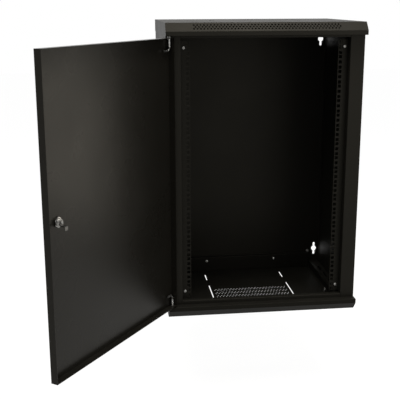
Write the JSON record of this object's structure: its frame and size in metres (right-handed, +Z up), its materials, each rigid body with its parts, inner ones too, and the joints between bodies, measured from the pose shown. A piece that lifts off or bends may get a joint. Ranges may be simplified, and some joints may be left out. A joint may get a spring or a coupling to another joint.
{
  "type": "wall mount network cabinet",
  "caption": "Shallow steel wall cabinet for rack equipment, with bevelled vented hood and base, square-hole rack rails, and a hinged solid door on sprung pins with a cam lock.",
  "frame": {"origin": "centre of the four wall keyholes, on the rear face that lies against the wall", "axes": "+X to the right seen from the front, +Y back into the wall, +Z up"},
  "size_m": [0.9346, 0.9302, 0.906],
  "materials": {
    "black_powder_coat": "fine-textured black powder coat, satin",
    "zinc_plate": "bright zinc plate",
    "nickel_plate": "polished nickel plate on zinc die casting",
    "spring_steel": "plain spring wire"
  },
  "bodies": {
    "cabinet": {"base_tray": "black_powder_coat", "bracket_screws": "zinc_plate", "cross_rail_screws": "zinc_plate", "depth_rail_lower_left": "black_powder_coat", "depth_rail_lower_right": "black_powder_coat", "depth_rail_upper_left": "black_powder_coat", "depth_rail_upper_right": "black_powder_coat", "earth_nuts": "zinc_plate", "earth_studs": "zinc_plate", "front_header": "black_powder_coat", "front_post_left": "black_powder_coat", "front_post_right": "black_powder_coat", "front_sill": "black_powder_coat", "hinge_washer_lower": "zinc_plate", "rack_rail_left": "black_powder_coat", "rack_rail_right": "black_powder_coat", "rail_bracket_lower_left": "black_powder_coat", "rail_bracket_lower_right": "black_powder_coat", "rail_bracket_upper_left": "black_powder_coat", "rail_bracket_upper_right": "black_powder_coat", "rail_screws": "zinc_plate", "rear_cross_rail_lower": "black_powder_coat", "rear_cross_rail_upper": "black_powder_coat", "rear_panel": "black_powder_coat", "roof_hood": "black_powder_coat", "side_panel_left": "black_powder_coat", "side_panel_right": "black_powder_coat"},
    "door": {"door_panel": "black_powder_coat", "hinge_guide_lower": "black_powder_coat", "hinge_guide_upper": "black_powder_coat", "hinge_washer_upper": "zinc_plate", "lock_barrel": "nickel_plate", "lock_nut": "nickel_plate"},
    "hinge_pin_upper": {"hinge_pin_upper": "zinc_plate", "hinge_clip_upper": "zinc_plate", "hinge_spring_upper": "spring_steel"},
    "hinge_pin_lower": {"hinge_pin_lower": "zinc_plate", "hinge_clip_lower": "zinc_plate", "hinge_spring_lower": "spring_steel"},
    "lock": {"lock_plug": "nickel_plate", "lock_cam": "nickel_plate", "lock_cam_screw": "nickel_plate"}
  },
  "joints": [
    {"name": "door_hinge", "type": "hinge", "parent": "cabinet", "child": "door", "pos_m": [-0.28975, -0.442, 0], "axis": [0, 0, 1], "range_deg": [-54.8, 125.2]},
    {"name": "hinge_pin_upper_slide", "type": "slide", "parent": "door", "child": "hinge_pin_upper", "axis": [0, 0, -1], "range_m": [0, 0.012], "stiffness_N_per_m": 700, "springref_m": -0.006, "deforming": ["hinge_spring_upper"]},
    {"name": "hinge_pin_lower_slide", "type": "slide", "parent": "door", "child": "hinge_pin_lower", "axis": [0, 0, 1], "range_m": [0, 0.012], "stiffness_N_per_m": 700, "springref_m": -0.006, "deforming": ["hinge_spring_lower"]},
    {"name": "lock_turn", "type": "hinge", "parent": "door", "child": "lock", "pos_m": [-0.60425, -0.87395, -0.006], "axis": [-0.8171, 0.5764, 0], "range_deg": [0, 90]}
  ]
}
